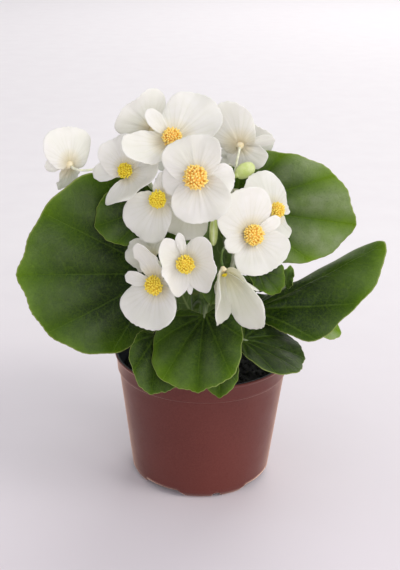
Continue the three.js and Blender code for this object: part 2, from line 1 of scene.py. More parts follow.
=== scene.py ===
# The looks of a potted wax begonia in flower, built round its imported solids.
# The plant and the pot are worked out in millimetres, and each mesh is made in metres.
# +Z is up, and -Y faces the viewer. A piece repeats the driving dimensions of the node that it replaces.
import math
from types import SimpleNamespace as Sizes

import bpy
import numpy as np
from mathutils import Matrix, Vector, noise


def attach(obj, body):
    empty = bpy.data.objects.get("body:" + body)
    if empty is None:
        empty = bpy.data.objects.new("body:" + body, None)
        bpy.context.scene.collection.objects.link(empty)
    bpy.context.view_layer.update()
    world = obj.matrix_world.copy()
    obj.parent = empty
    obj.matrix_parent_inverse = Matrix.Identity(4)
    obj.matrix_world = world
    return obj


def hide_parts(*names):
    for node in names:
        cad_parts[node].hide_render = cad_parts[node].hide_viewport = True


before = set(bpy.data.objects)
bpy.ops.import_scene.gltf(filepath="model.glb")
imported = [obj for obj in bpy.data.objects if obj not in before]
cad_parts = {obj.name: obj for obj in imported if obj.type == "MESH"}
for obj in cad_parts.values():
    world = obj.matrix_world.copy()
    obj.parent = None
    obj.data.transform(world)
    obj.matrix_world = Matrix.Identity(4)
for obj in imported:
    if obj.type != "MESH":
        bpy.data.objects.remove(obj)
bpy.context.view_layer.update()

MM = 0.001

# The reference view, fitted to the pot's rim and foot.
CAMERA = Sizes(place=(-1.9, -513.3, 311.35), target=(-1.9, 0.0, 113.8), roll=0.95,
               focal_pixels=980, long_side=570)

# Driving dimensions of the pot and the soil.
POT = Sizes(
    rim_radius=50, height=75, wall=1.3, lip_width=1.6, lip_height=1.4, lip_round=0.4, band_radius=47.7,
    band_z=64.6, band_step=0.8, base_radius=40.3, foot_radius=38.2, foot_width=3, foot_height=3.4,
    pad_radius=13, pad_slope=1.8, floor_lift=5, sides=360,
)
ARCH = Sizes(width=28, top_width=21, height=4, angle=-124)
DRAIN = Sizes(width=4.8, top_width=3.6, height=2.8, angle=-76)
SOIL = Sizes(wall_z=62.4, crown=4.5, lump=1.1, inset=1.7, rough=0.9, sink=0.6, rings=46, sides=150,
             crumbs=620)

# Driving dimensions of the plant.
STEM = Sizes(radius=2.6, fork_share=0.97, joint_every=24, joint_reach=1.5, rows=130, sides=20)
PEDUNCLE = Sizes(radius=1.3, rows=30, sides=14)
PEDICEL = Sizes(radius=0.7, rows=26, sides=12, gap=0.05)
PETIOLE = Sizes(radius=1.5, young_share=0.75, rise=0.7, reach=3, sink=0.35, rows=30, sides=14)
LINK_HANDLE = 0.4
BLADE = Sizes(point=0.2, notch=0.3, fold=0.12, widening=0.7, steps=8, inset=0.35, tooth=4, rim=0.55)
VEINS = Sizes(spread=26, crowding=0.925, side_gap=8, swell=1.1, furrow=0.5, full_length=55)
TEPAL_ROOT_OUT = 1.2
RECEPTACLE = Sizes(radius=2.4, back_radius=1.0, depth=2.2, crown=0.6)
STAMENS = Sizes(radius=5.9, middle=2.9, rise=4.7, spread=1.95, lift=1.3, core=0.64, count=120)
BUD = Sizes(flatness=0.55, sink=0.42, pinch=0.1, seam=0.16, rings=26, sides=40)

# Stems: the points that each passes from below the soil up to its top, and the fork of its flower stalks.
STEMS = {
    "left": dict(path=((-11, -4, 30), (-14, -5, 90), (-20, -7, 130), (-25, -8, 164)), fork=(-33, -7, 181),
        blooms=("far_left", "upper_left", "top_left")),
    "right": dict(path=((12, -3, 30), (13, -4, 90), (13, -7, 130), (12, -9, 156)), fork=(14, -12, 172),
        blooms=("top_right", "right_side", "bud_right")),
    "front": dict(path=((-2, -14, 30), (-3, -19, 90), (-5, -22, 125), (-7, -23, 150)), fork=(-10, -23, 184),
        blooms=("top_centre", "centre", "left_centre", "under_centre")),
    "front_right": dict(path=((8, -17, 30), (12, -25, 85), (13, -29, 112), (14, -31, 130)),
        fork=(16, -36, 147), blooms=("right_centre", "low_right", "bud_centre")),
    "front_left": dict(path=((-10, -18, 30), (-14, -27, 85), (-16, -32, 112), (-17, -35, 122)),
        fork=(-17, -42, 134), blooms=("low_centre", "low_left", "low_behind")),
    "back": dict(path=((1, 11, 30), (1, 15, 90), (2, 19, 130), (3, 21, 158)), fork=(2, 22, 172),
        blooms=("back_left", "back_right")),
}

# Leaves. The tone value runs from -1, dark green, to 1, light green; it is partly each leaf's own green and
# partly painted light and shade, and it also scales a leaf's painted sheen.
LEAF_SHAPE = dict(
    thickness=0.9, margin=0.55, crenation=0.2, rings=34, sides=200, centre=0.4, lobe=5, skew=0,
    squareness=2.1, point=0.06, tooth=0.01, teeth=14, neck=1, fold=7, wave=1.5, waves=5, phase=0,
    cup=(-10, -10), tone=0, young=False,
)
SMALL_LEAF = {**LEAF_SHAPE, "rings": 22, "sides": 140}


def leaf(stem, share, root, tip, roll, width, bend, small=False, **form):
    """share is where on its stem the petiole starts, root is where it meets the blade, and tip is the far end
    of the midrib. roll and bend are in degrees."""
    own = dict(stem=stem, share=share, root=root, tip=tip, roll=roll, width=width, bend=bend)
    return {**(SMALL_LEAF if small else LEAF_SHAPE), **own, **form}


LEAVES = {
    "left_large": leaf("left", 0.72, (-22, -18, 127), (-96, -45, 135), -78, 104, 4, cup=(-6, -3), centre=0.43,
        lobe=15, squareness=2, skew=-0.12, point=0.07, wave=2),
    "left_upper": leaf("front", 0.86, (-26, -30, 168), (-57, -31, 157), -78, 36, 10, small=True, cup=(2, 7),
        centre=0.29),
    "right_upper": leaf("right", 0.93, (16, 9, 157), (84, 5, 149), 76, 67, 24, cup=(-5, 1), centre=0.32,
        lobe=14, squareness=2.3, skew=0.11, point=0.09, tone=0.9),
    "right_long": leaf("right", 0.55, (27, -25, 110), (99, -3, 142), 9, 67, -8, cup=(-16, -9), fold=-27,
        centre=0.28, lobe=2, squareness=1.75, tone=0.1),
    "front_centre": leaf("front", 0.66, (1, -49, 117), (-2, -80, 87), 14, 52, 27, cup=(-16, -10), centre=0.47,
        lobe=9, squareness=2.25, skew=-0.08, tone=0.1),
    "front_left_low": leaf("front_left", 0.72, (-24, -46, 104), (-26, -71, 81), -30, 35, 22, small=True,
        cup=(-10, -9), centre=0.46, squareness=2, skew=0.09, tone=-0.25),
    "front_low": leaf("front_right", 0.5, (10, -51, 98), (9, -66, 77), 9, 22, 20, small=True, centre=0.36,
        tone=-0.1),
    "rim_right": leaf("front_right", 0.62, (21, -43, 100), (55, -40, 88), 17, 45, 18, small=True, skew=-0.16,
        cup=(-12, 2), wave=0.8, tone=-0.8),
    "right_small": leaf("right", 0.75, (27, -34, 137), (40, -39, 125), 43, 21, 9, small=True, cup=(6, 7),
        skew=0.13),
    "young_right": leaf("right", 0.72, (43.5, -26, 124), (45.5, -26, 136), 90, 9, -20, small=True, young=True,
        cup=(50, 40), tone=0.1),
    "right_low_back": leaf("right", 0.4, (28, 14, 95), (84, 30, 73), 20, 36, 25, tone=1.1),
    "back_left": leaf("back", 0.7, (-22, 18, 118), (-68, 52, 102), 10, 60, 30, tone=0.1),
    "back_centre": leaf("back", 0.6, (-4, 38, 124), (-8, 88, 98), 0, 60, 35, tone=-0.1),
    "back_right": leaf("back", 0.75, (18, 34, 130), (54, 66, 108), -10, 52, 30, tone=0.1),
    "back_upper": leaf("back", 0.93, (-8, 34, 158), (-20, 66, 156), 5, 36, 25, small=True, cup=(0, 0),
        tone=0.3),
    "inner_centre": leaf("back", 0.46, (-3, 7, 86), (-3, 10, 159), 180, 48, 8, cup=(-6, -6), tone=-1),
    "inner_right": leaf("right", 0.62, (29, -7.5, 113), (29, -8.5, 135), 180, 13, 12, small=True,
        cup=(-8, -8), tone=-0.8),
    "young_front": leaf("front_right", 0.75, (8.5, -43, 133), (3.6, -49.5, 121), 0, 13, 22, small=True,
        young=True, cup=(25, 25), tone=0.2),
}

# Small leaves low on the stems and at their backs. Each is part of its stem's piece.
STEM_LEAVES = [
    leaf("left", 0.5, (-29, 4, 103), (-64, 10, 93), 8, 36, 26, small=True, cup=(-8, -8), tone=-0.1),
    leaf("left", 0.78, (-30, 9, 141), (-50, 34, 133), -8, 34, 24, small=True, cup=(-6, -6), tone=0.1),
    leaf("back", 0.42, (-8, 26, 98), (-34, 58, 84), 6, 38, 26, small=True, cup=(-8, -8), tone=-0.2),
    leaf("back", 0.86, (13, 29, 150), (38, 44, 142), -6, 30, 22, small=True, cup=(-6, -6), tone=0.3),
    leaf("right", 0.55, (28, 14, 107), (43, 40, 98), -6, 30, 24, small=True, cup=(-8, -8)),
]

LARGE_TEPAL = dict(
    thickness=0.75, margin=0.4, crenation=0.22, rings=18, sides=92, centre=0.45, lobe=3.3, skew=0,
    squareness=2.2, point=0, tooth=0, teeth=1, neck=0.9, fold=4, wave=0.7, waves=5, bend=12, cup=(8, 8),
)
SMALL_TEPAL = {**LARGE_TEPAL, "rings": 10, "sides": 46, "centre": 0.55, "lobe": 0, "neck": 0.5, "fold": 6,
               "wave": 0.2, "bend": 6}


def tepal(clock, lift, length=15, width=9, **form):
    """clock is its angle as the bloom's viewer sees it, and lift is how far it leans towards that viewer."""
    return {"clock": clock, "lift": lift, "length": length, "width": width, **form}


# Blooms: the middle of the receptacle, the direction that the bloom faces, and its tepals.
# pollen runs from 0, greenish, to 1, orange; the greenish end is partly younger pollen and partly painted
# shade on the blooms in shade. green is the share of green in the tepals, partly their own green and partly
# painted shade.
BLOOMS = {
    "far_left": dict(at=(-70, -22, 187), facing=(128, 12), dome=0.7,
        large=(tepal(-5, 18, 19, 31, bend=-10, lobe=5), tepal(197, 17, 22, 15, bend=-25)),
        small=(tepal(95, 28, 12), tepal(-85, 28, 12))),
    "upper_left": dict(at=(-39.6, -31.5, 186.6), facing=(-108, 23), dome=0.65, pollen=0.1,
        large=(tepal(-30, 10, 18, 24, squareness=2.8), tepal(140, 12, 19, 36, bend=-48, lobe=0)),
        small=(tepal(60, 0), tepal(-97, 3, 18, 11.5))),
    "left_centre": dict(at=(-22, -48, 177.2), facing=(-112, 15), dome=0.75, pollen=0.15,
        large=(tepal(25, 2, 14, 16, bend=-4), tepal(-150, 4, 22, 29)),
        small=(tepal(95, -10, 12), tepal(-100, -6, 10))),
    "top_left": dict(at=(-28, -6, 203), facing=(122, 18), dome=0.7, pollen=1,
        large=(tepal(40, 9, 21.5, 33), tepal(205, 10, 18, 25)),
        small=(tepal(105, 28, 12), tepal(-60, 28, 12))),
    "top_centre": dict(at=(-17, -32, 203), facing=(-93, 42), dome=0.83, pollen=1,
        large=(tepal(38, 0, 29, 33, bend=-6, wave=1.2), tepal(-120, 3, 29, 22, bend=-50)),
        small=(tepal(140, 0), tepal(-46, 24, 19, 10, bend=-4))),
    "top_right": dict(at=(18, -6, 195), facing=(81, 26), dome=0.7, pollen=1,
        large=(tepal(29, 12, 26, 29, lobe=7), tepal(200, 10, 18, 24)),
        small=(tepal(110, 28, 12), tepal(-79, 9, 18, 9))),
    "centre": dict(at=(-4, -54, 190), facing=(-103, 16), dome=1, pollen=1,
        large=(tepal(-18, 3, 20, 32), tepal(164, 4, 21.5, 32, wave=1)),
        small=(tepal(91, -3, 17.5, 18, wave=0.8), tepal(-100, -1, 17.5, 17))),
    "under_centre": dict(at=(-6.6, -39.3, 173.6), facing=(-93, 7), dome=0.75, green=0.25,
        large=(tepal(196, -4, 20, 25, bend=18), tepal(0, 4, 11, 13)),
        small=(tepal(90, -6), tepal(-90, -6))),
    "right_centre": dict(at=(23.2, -47, 159), facing=(-69, 17), dome=0.9, pollen=0.9,
        large=(tepal(-24, 20, 26, 33, bend=-7), tepal(159, 13, 20, 33, bend=-8)),
        small=(tepal(65, 15, 16.5, 8.5), tepal(-106, 17, 16.5, 11.5))),
    "right_side": dict(at=(36, -26, 165), facing=(-60, 33), dome=0.7, pollen=0.6,
        large=(tepal(-17, -1, 22, 26, bend=-7, lobe=8), tepal(204, 6, 18, 19, bend=-44)),
        small=(tepal(80, 0, 9), tepal(-90, 5))),
    "low_centre": dict(at=(-9, -67, 151), facing=(-92, 6), dome=0.75, pollen=0.35,
        large=(tepal(-105, 10, 13.5, 32, bend=-54), tepal(87, 13, 18, 30, bend=-50)),
        small=(tepal(-13, 12, 15, 6), tepal(170, 10, 15, 4.5))),
    "low_left": dict(at=(-23, -60, 137), facing=(-118, 8), dome=0.8, pollen=0.3,
        large=(tepal(187, 18, 22.5, 33, bend=-8), tepal(-15, 15, 25, 13, bend=-34)),
        small=(tepal(-83, 18, 16.5), tepal(75, -10, 10))),
    "low_behind": dict(at=(-27, -42, 143), facing=(-112, 8), dome=0.6, green=0.3,
        large=(tepal(-68, 7, 14, 17), tepal(160, 4, 10, 12)),
        small=(tepal(12, 4, 15, 12), tepal(-120, 4, 9))),
    "low_right": dict(at=(9.4, -66, 146.8), facing=(-62, -59), dome=0.22, pollen=0, stalk_age=0.6, green=0.3,
        large=(tepal(-130, 64, 27, 31, bend=-16, cup=(30, 30)),
               tepal(94, 60, 34, 32, bend=-19, cup=(13, 13))),
        small=(tepal(50, 44, 20, 10, bend=-4), tepal(175, 30, bend=-40))),
    "back_left": dict(at=(-16, 34, 186), facing=(110, 25), dome=0.85,
        large=(tepal(10, 10, 22, 28), tepal(-170, 10, 22, 28)),
        small=(tepal(90, 10), tepal(-90, 10))),
    "back_right": dict(at=(22, 30, 180), facing=(70, 20), dome=0.8,
        large=(tepal(-20, 10, 22, 28), tepal(160, 10, 22, 28)),
        small=(tepal(90, 10), tepal(-90, 10))),
}

# Closed buds: the base of each and the way it points.
BUDS = {
    "bud_right": dict(at=(16.5, -16.5, 182), facing=(8, 28), length=11, width=8.5),
    "bud_centre": dict(at=(4.5, -42, 165), facing=(-90, -72), length=14, width=8),
}


# Materials, by name.

MATERIALS = {}


def colour(red, green, blue):
    """A colour given as it looks on screen, from 0 to 255, as linear light."""
    values = [c / 255 for c in (red, green, blue)]
    return (*[c / 12.92 if c <= 0.04045 else ((c + 0.055) / 1.055) ** 2.4 for c in values], 1.0)


class Skin:
    """A material and its nodes. A socket passed as an input is linked, and any other value is set."""

    def __init__(self, name):
        self.material = bpy.data.materials.new(name)
        MATERIALS[name] = self.material
        self.material.use_nodes = True
        self.nodes = self.material.node_tree.nodes
        self.surface = self.nodes["Principled BSDF"]

    def put(self, socket, value):
        if isinstance(value, bpy.types.NodeSocket):
            self.material.node_tree.links.new(value, socket)
        else:
            socket.default_value = value

    def fill(self, node, inputs):
        for key, value in inputs.items():
            self.put(node.inputs[key], value)
        return node

    def add(self, kind, inputs, **settings):
        node = self.nodes.new("ShaderNode" + kind)
        for key, value in settings.items():
            setattr(node, key, value)
        return self.fill(node, inputs)

    def value(self, name):
        return self.add("Attribute", {}, attribute_name=name).outputs["Fac"]

    def place(self):
        return self.add("TexCoord", {}).outputs["Object"]

    def noise(self, size, detail=3, roughness=0.55):
        """Noise from 0 to 1 whose largest grains are about size millimetres across."""
        inputs = {"Vector": self.place(), "Scale": 1 / (size * MM), "Detail": detail, "Roughness": roughness}
        return self.add("TexNoise", inputs).outputs["Fac"]

    def cells(self, size):
        """Distance from the borders of cells about size millimetres across."""
        inputs = {"Vector": self.place(), "Scale": 1 / (size * MM)}
        return self.add("TexVoronoi", inputs, feature="DISTANCE_TO_EDGE").outputs["Distance"]

    def span(self, value, low, high, to_low=0.0, to_high=1.0):
        inputs = {"Value": value, "From Min": low, "From Max": high, "To Min": to_low, "To Max": to_high}
        return self.add("MapRange", inputs).outputs["Result"]

    def math(self, operation, first, second=0.0):
        return self.add("Math", {0: first, 1: second}, operation=operation).outputs[0]

    def plus(self, first, second):
        return self.math("ADD", first, second)

    def minus(self, first, second):
        return self.math("SUBTRACT", first, second)

    def times(self, first, second):
        return self.math("MULTIPLY", first, second)

    def over(self, first, second):
        return self.math("DIVIDE", first, second)

    def reach(self):
        """Distance from a blade's root in mm."""
        along, across = self.value("along"), self.value("across")
        return self.math("SQRT", self.plus(self.times(along, along), self.times(across, across)))

    def bearing(self):
        """The angle from a blade's midrib."""
        return self.math("ABSOLUTE", self.math("ARCTAN2", self.value("across"), self.value("along")))

    def mix(self, share, first, second):
        """Two colours mixed. Each is a socket, or red, green and blue from 0 to 255."""
        node = self.add("Mix", {}, data_type="RGBA")
        sockets = [s for s in node.inputs if s.enabled]
        for socket, value in zip((sockets[0], sockets[-2], sockets[-1]), (share, first, second)):
            self.put(socket, colour(*value) if isinstance(value, tuple) else value)
        return next(s for s in node.outputs if s.enabled)

    def tinge(self, base, over, value, low, high, most=1.0):
        """The base with up to a share of another colour, as the value runs from low to high."""
        return self.mix(self.span(value, low, high, 0.0, most), base, over)

    def coat(self, tint, rough, relief, depth, strength, others=()):
        """Sets the surface's colour, roughness, fine relief with its depth in mm, and other inputs."""
        bump = self.add("Bump", {"Height": relief, "Distance": depth * MM, "Strength": strength})
        self.fill(self.surface, {"Base Color": tint, "Roughness": rough, "Normal": bump.outputs["Normal"]})
        self.fill(self.surface, dict(others))

    def translucent(self, tint, share):
        """Lets a share of the light that falls on a thin blade show on its other side."""
        through = self.add("BsdfTranslucent", {"Color": tint})
        both = self.add("MixShader", {0: share, 1: self.surface.outputs[0], 2: through.outputs[0]})
        self.fill(self.nodes["Material Output"], {"Surface": both.outputs[0]})


def pot_plastic():
    skin = Skin("pot_plastic")
    fine = skin.noise(0.9, 2)
    tint = skin.tinge((87, 33, 26), (96, 39, 31), skin.noise(60, 2), 0.35, 0.65)
    tint = skin.tinge(tint, (126, 70, 60), fine, 0.3, 0.7, 0.2)
    rough = skin.span(skin.noise(8, 3), 0.3, 0.7, 0.36, 0.46)
    sheen = {"Sheen Weight": 0.9, "Sheen Roughness": 0.28, "Sheen Tint": colour(255, 212, 188)}
    skin.coat(tint, rough, fine, 0.05, 0.35, {"Specular IOR Level": 0.36, **sheen})


def pot_lining():
    skin = Skin("pot_lining")
    dust = skin.noise(3, 4)
    tint = skin.tinge((20, 23, 32), (46, 50, 62), dust, 0.45, 0.8)
    skin.coat(tint, skin.span(dust, 0.3, 0.7, 0.38, 0.55), dust, 0.05, 0.3)


def peat():
    skin = Skin("peat")
    fine = skin.noise(0.7, 4, 0.7)
    # Partly painted shade: the peat is kept near black, its own dark colour deepened for the shade down
    # inside the pot.
    tint = skin.tinge((10, 10, 12), (26, 24, 24), skin.noise(3.2, 6, 0.7), 0.35, 0.68)
    tint = skin.tinge(tint, (50, 43, 38), fine, 0.64, 0.78)
    skin.coat(tint, 0.92, fine, 0.6, 0.8)


def stalk_skin():
    """Stems, petioles and flower stalks. The value age is 0 on a flower stalk and 1 at a stem's foot; the
    stalks are pale near the blooms and darker green lower down, partly their own colour and partly painted
    shade under the foliage.
    """
    skin = Skin("stalk_skin")
    streak = skin.noise(2.2, 4)
    # Partly painted shade: the darker green towards the stem's foot stands for the shade under the leaves as
    # well as the stems' own colour.
    tint = skin.tinge((234, 234, 212), (64, 88, 28), skin.value("age"), 0.08, 0.5)
    tint = skin.tinge(tint, (120, 146, 70), streak, 0.4, 0.75, 0.35)
    tint = skin.mix(skin.value("joint"), tint, (150, 118, 74))
    depth = {"Subsurface Weight": 0.25, "Subsurface Scale": 0.002, "Subsurface Radius": (0.9, 1.0, 0.4)}
    skin.coat(tint, 0.46, streak, 0.15, 0.4, {"Specular IOR Level": 0.3, **depth})


def leaf_skin(name="leaf_skin", dark=(14, 33, 6), mid=(63, 93, 6), light=(120, 156, 12)):
    """A blade's two sides. Its values are along and across in mm from the root, far (1 at the tip),
    rim (1 at the margin), under and tone, which is partly the leaf's own green and partly painted light and
    shade."""
    skin = Skin(name)
    far, rim, tone = skin.value("far"), skin.value("rim"), skin.value("tone")

    # Main veins spread from the root, and side veins leave them at even distances.
    spread = math.radians(VEINS.spread)
    reach = skin.reach()
    order = skin.math("POWER", skin.over(skin.bearing(), spread), VEINS.crowding)
    nearest = skin.math("ROUND", order)
    off = skin.math("ABSOLUTE", skin.minus(order, nearest))
    gap = skin.times(off, skin.times(reach, spread))
    vein = skin.span(skin.over(gap, skin.span(far, 0, 1, 0.8, 0.25)), 0.3, 1.2, 1, 0)
    beat = skin.over(skin.minus(reach, skin.times(gap, 0.8)), VEINS.side_gap)
    beat = skin.plus(beat, skin.times(nearest, 0.37))
    beat = skin.plus(beat, skin.times(skin.noise(14, 2), 1.4))
    side = skin.math("ABSOLUTE", skin.minus(beat, skin.math("ROUND", beat)))
    side = skin.times(skin.span(side, 0.02, 0.07, 1, 0), skin.span(reach, 8, 16))

    # The upper side lightens towards its margin and is darker towards the root, which is painted shade from
    # the blooms above it; a painted sheen lies where it swells between the veins.
    mottle = skin.noise(24, 3)
    grain = skin.noise(1.6, 3)
    cells = skin.cells(1.3)
    # Painted shade: the blade darkens towards its root, where the blooms above shade it.
    shade = skin.plus(skin.span(mottle, 0.3, 0.7, -0.06, 0.22), skin.span(far, 0.1, 0.8, -0.28, 0.26))
    shade = skin.plus(shade, skin.times(skin.math("POWER", rim, 5), 0.34))
    # Painted light and shade: the tone lightens some whole leaves and darkens others, partly for their own
    # green.
    shade = skin.plus(shade, skin.times(tone, 0.4))
    upper = skin.tinge(dark, mid, shade, 0.0, 0.6)
    upper = skin.tinge(upper, light, shade, 0.5, 1.2, 0.85)
    upper = skin.tinge(upper, light, grain, 0.45, 0.8, 0.14)
    upper = skin.mix(skin.span(cells, 0.0, 0.12, 0.1, 0), upper, light)
    swell = skin.times(skin.span(off, 0.0, 0.36), skin.span(far, 0.2, 0.7))
    # Painted sheen: a pale grey-green veil on the swells between the veins, stronger on leaves with a higher
    # tone, standing in for light reflected off the glossy blade.
    painted_sheen = skin.times(swell, skin.span(skin.noise(9, 4), 0.35, 0.7, 0.24, 0.5))
    painted_sheen = skin.times(painted_sheen, skin.span(tone, 0.1, 0.9, 0.24, 1.3))
    upper = skin.mix(painted_sheen, upper, (156, 166, 134))
    upper = skin.tinge(upper, dark, skin.noise(0.8, 2), 0.5, 0.7, 0.2)
    upper = skin.mix(skin.times(side, 0.05), upper, (118, 146, 50))
    upper = skin.mix(skin.times(vein, 0.14), upper, (118, 148, 56))
    upper = skin.tinge(upper, (164, 174, 96), rim, 0.982, 0.996, 0.6)

    # The lower side is paler, with plainer veins.
    under = skin.tinge((96, 122, 62), (118, 142, 80), mottle, 0.3, 0.7)
    under = skin.mix(skin.times(vein, 0.7), under, (170, 190, 124))
    under = skin.mix(skin.times(side, 0.35), under, (160, 180, 114))
    tint = skin.mix(skin.value("under"), upper, under)
    relief = skin.plus(skin.times(cells, 0.6), grain)
    relief = skin.minus(relief, skin.plus(vein, skin.times(side, 0.5)))
    sheen = {"Sheen Weight": 0.12, "Sheen Roughness": 0.35, "Sheen Tint": colour(230, 250, 150)}
    rough = skin.span(mottle, 0.3, 0.7, 0.3, 0.42)
    skin.coat(tint, rough, relief, 0.3, 0.5, {"Specular IOR Level": 0.12, **sheen})
    skin.translucent(tint, 0.12)


def tepal_skin():
    """White, thin and faintly veined. Its values are along and across in mm, far and green, which is partly
    the tepals' own green and partly painted shade.
    """
    skin = Skin("tepal_skin")
    far = skin.value("far")
    cloud = skin.noise(7, 3)
    rays = skin.plus(skin.times(skin.bearing(), 34), skin.times(skin.noise(9, 2), 4))
    vein = skin.times(skin.span(skin.math("COSINE", rays), 0.3, 1.0), skin.span(far, 0.12, 0.9, 1, 0))
    tint = skin.tinge((248, 247, 241), (252, 251, 248), cloud, 0.3, 0.7)
    tint = skin.tinge(tint, (241, 242, 230), skin.noise(18, 2), 0.4, 0.7, 0.4)
    tint = skin.mix(skin.times(vein, 0.3), tint, (222, 222, 202))
    # Painted glow: a yellow tint near the root stands in for light reflected from the stamens onto the tepal.
    tint = skin.mix(skin.times(skin.span(far, 0.02, 0.42, 1, 0), 0.5), tint, (238, 221, 152))
    # Partly painted shade: a greenish tint, strongest at the root, on the low blooms that sit in shade,
    # besides the tepals' own green.
    tint = skin.mix(skin.times(skin.value("green"), skin.span(far, 0.1, 0.9, 1, 0.3)), tint, (214, 221, 174))
    relief = skin.plus(skin.times(vein, -1.6), skin.cells(0.4))
    skin.coat(tint, skin.span(cloud, 0.3, 0.7, 0.42, 0.55), relief, 0.12, 0.5,
              {"Specular IOR Level": 0.35, "Sheen Weight": 0.15, "Sheen Roughness": 0.4})
    skin.translucent(tint, 0.42)


def receptacle_skin():
    skin = Skin("receptacle_skin")
    cloud = skin.noise(2.5, 3)
    skin.coat(skin.tinge((226, 210, 164), (238, 228, 196), cloud, 0.35, 0.65), 0.45, cloud, 0.1, 0.4)


def anther_skin():
    """Yellow pollen sacs, paler at their tips. tip is 1 at the outer end, and pollen runs from greenish
    to orange; the greenish end is partly younger pollen and partly painted shade on the blooms in shade."""
    skin = Skin("anther_skin")
    tip = skin.value("tip")
    grain = skin.noise(0.6, 3)
    # Partly painted shade: the greenish sacs go on the blooms in shade, as well as standing for younger
    # pollen.
    greenish_sacs = skin.mix(tip, (222, 196, 16), (252, 232, 60))
    orange_sacs = skin.mix(tip, (255, 188, 66), (255, 228, 132))
    tint = skin.mix(skin.value("pollen"), greenish_sacs, orange_sacs)
    tint = skin.tinge(tint, (250, 190, 60), grain, 0.55, 0.8, 0.2)
    depth = {"Subsurface Weight": 0.2, "Subsurface Scale": 0.001, "Subsurface Radius": (1.0, 0.7, 0.2)}
    skin.coat(tint, 0.6, grain, 0.15, 0.6, depth)


def bud_skin():
    """Light green, and paler where the value base rises along the seams."""
    skin = Skin("bud_skin")
    cloud = skin.noise(4, 3)
    tint = skin.tinge((204, 222, 128), (228, 238, 176), cloud, 0.35, 0.65)
    tint = skin.mix(skin.value("base"), tint, (242, 244, 226))
    skin.coat(tint, 0.42, cloud, 0.1, 0.4)
    skin.translucent(tint, 0.15)


# Meshes.


def new_object(name, data):
    made = bpy.data.objects.new(name, data)
    bpy.context.scene.collection.objects.link(made)
    return made


class Shape:
    """The points, faces, material numbers and per-point values gathered for one piece."""

    def __init__(self, *value_names):
        self.points = []
        self.faces = []
        self.slots = []
        self.values = {name: [] for name in value_names}
        self.count = 0

    def add(self, points, faces, slot=0, **values):
        points = np.asarray(points, float)
        self.points.append(points)
        self.faces.extend([[i + self.count for i in face] for face in faces])
        self.slots.extend([slot] * len(faces))
        for name, held in self.values.items():
            held.append(np.broadcast_to(np.asarray(values.get(name, 0.0), float), (len(points),)))
        self.count += len(points)

    def piece(self, name, nodes, slot, *skins):
        mesh = bpy.data.meshes.new(name)
        mesh.from_pydata((np.concatenate(self.points) * MM).tolist(), [], self.faces)
        mesh.polygons.foreach_set("use_smooth", [True] * len(mesh.polygons))
        mesh.polygons.foreach_set("material_index", self.slots)
        for value_name, held in self.values.items():
            attribute = mesh.attributes.new(value_name, "FLOAT", "POINT")
            attribute.data.foreach_set("value", np.concatenate(held).astype(np.float32))
        for skin in skins:
            mesh.materials.append(MATERIALS[skin])
        mesh.update()
        made = new_object(name, mesh)
        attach(made, "root")
        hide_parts(*nodes)


def unit(vector):
    vector = np.asarray(vector, float)
    return vector / np.linalg.norm(vector)


def frame_matrix(x, y, z, at):
    matrix = np.eye(4)
    matrix[:3] = np.transpose([x, y, z, at])
    return matrix


def placed(points, matrix):
    return np.asarray(points) @ matrix[:3, :3].T + matrix[:3, 3]


def ring(radius, height, turn):
    level = np.full(len(turn), height)
    return np.stack([radius * np.cos(turn), radius * np.sin(turn), level], axis=1)


def around(first, sides):
    """Each point of a ring that starts at the first, with the point after it."""
    return [(first + side, first + (side + 1) % sides) for side in range(sides)]


def ring_faces(rings, sides, start=0):
    """Quads between rings of points, each ring closed on itself."""
    faces = []
    for number in range(rings - 1):
        faces += [(a, b, b + sides, a + sides) for a, b in around(start + number * sides, sides)]
    return faces


def closed_faces(rings, sides):
    """Faces of a closed solid of rings. The points of its two ends follow those of the rings."""
    faces = ring_faces(rings, sides)
    foot, top = rings * sides, rings * sides + 1
    last = foot - sides
    for side, after in around(0, sides):
        faces += [(foot, after, side), (top, last + side, last + after)]
    return faces


def tube(path, radii, sides):
    """Points and faces of a closed tube along a path, with a radius at each of its points."""
    along = np.gradient(path, axis=0)
    along /= np.linalg.norm(along, axis=1)[:, None]
    out = np.cross(along[0], [1.0, 0.2, 0.1])
    rows = []
    turn = np.linspace(0, 2 * math.pi, sides, endpoint=False)
    for point, ahead, radius in zip(path, along, radii):
        out = out - ahead * (out @ ahead)
        out /= np.linalg.norm(out)
        across = np.cross(ahead, out)
        rows.append(point + radius * (np.outer(np.cos(turn), out) + np.outer(np.sin(turn), across)))
    return np.concatenate([*rows, path[:1], path[-1:]]), closed_faces(len(path), sides)


def add_stalk(shape, path, radii, sides, slot=0, **values):
    """Adds a tube. Its values are given along its path."""
    points, faces = tube(path, radii, sides)
    spread = {name: np.concatenate([np.repeat(held, sides), held[[0, -1]]]) for name, held in values.items()}
    shape.add(points, faces, slot, **spread)


def turned_shape(profile, sides):
    """Points and faces of a closed solid of revolution about Z. The profile's ends lie on the axis."""
    turn = np.linspace(0, 2 * math.pi, sides, endpoint=False)
    inner = profile[1:-1]
    rows = [ring(radius, height, turn) for radius, height in inner]
    points = np.concatenate([*rows, [[0, 0, profile[0][1]], [0, 0, profile[-1][1]]]])
    return points, closed_faces(len(inner), sides)


def link_path(start, leaving, end, arriving, count):
    """A smooth path that leaves one point in one direction and arrives at another in another direction."""
    handle = LINK_HANDLE * np.linalg.norm(end - start)
    knots = [start, start + handle * leaving, end - handle * arriving, end]
    t = np.linspace(0, 1, count)[:, None]
    weights = [(1 - t) ** 3, 3 * t * (1 - t) ** 2, 3 * t**2 * (1 - t), t**3]
    return sum(weight * knot for weight, knot in zip(weights, knots))


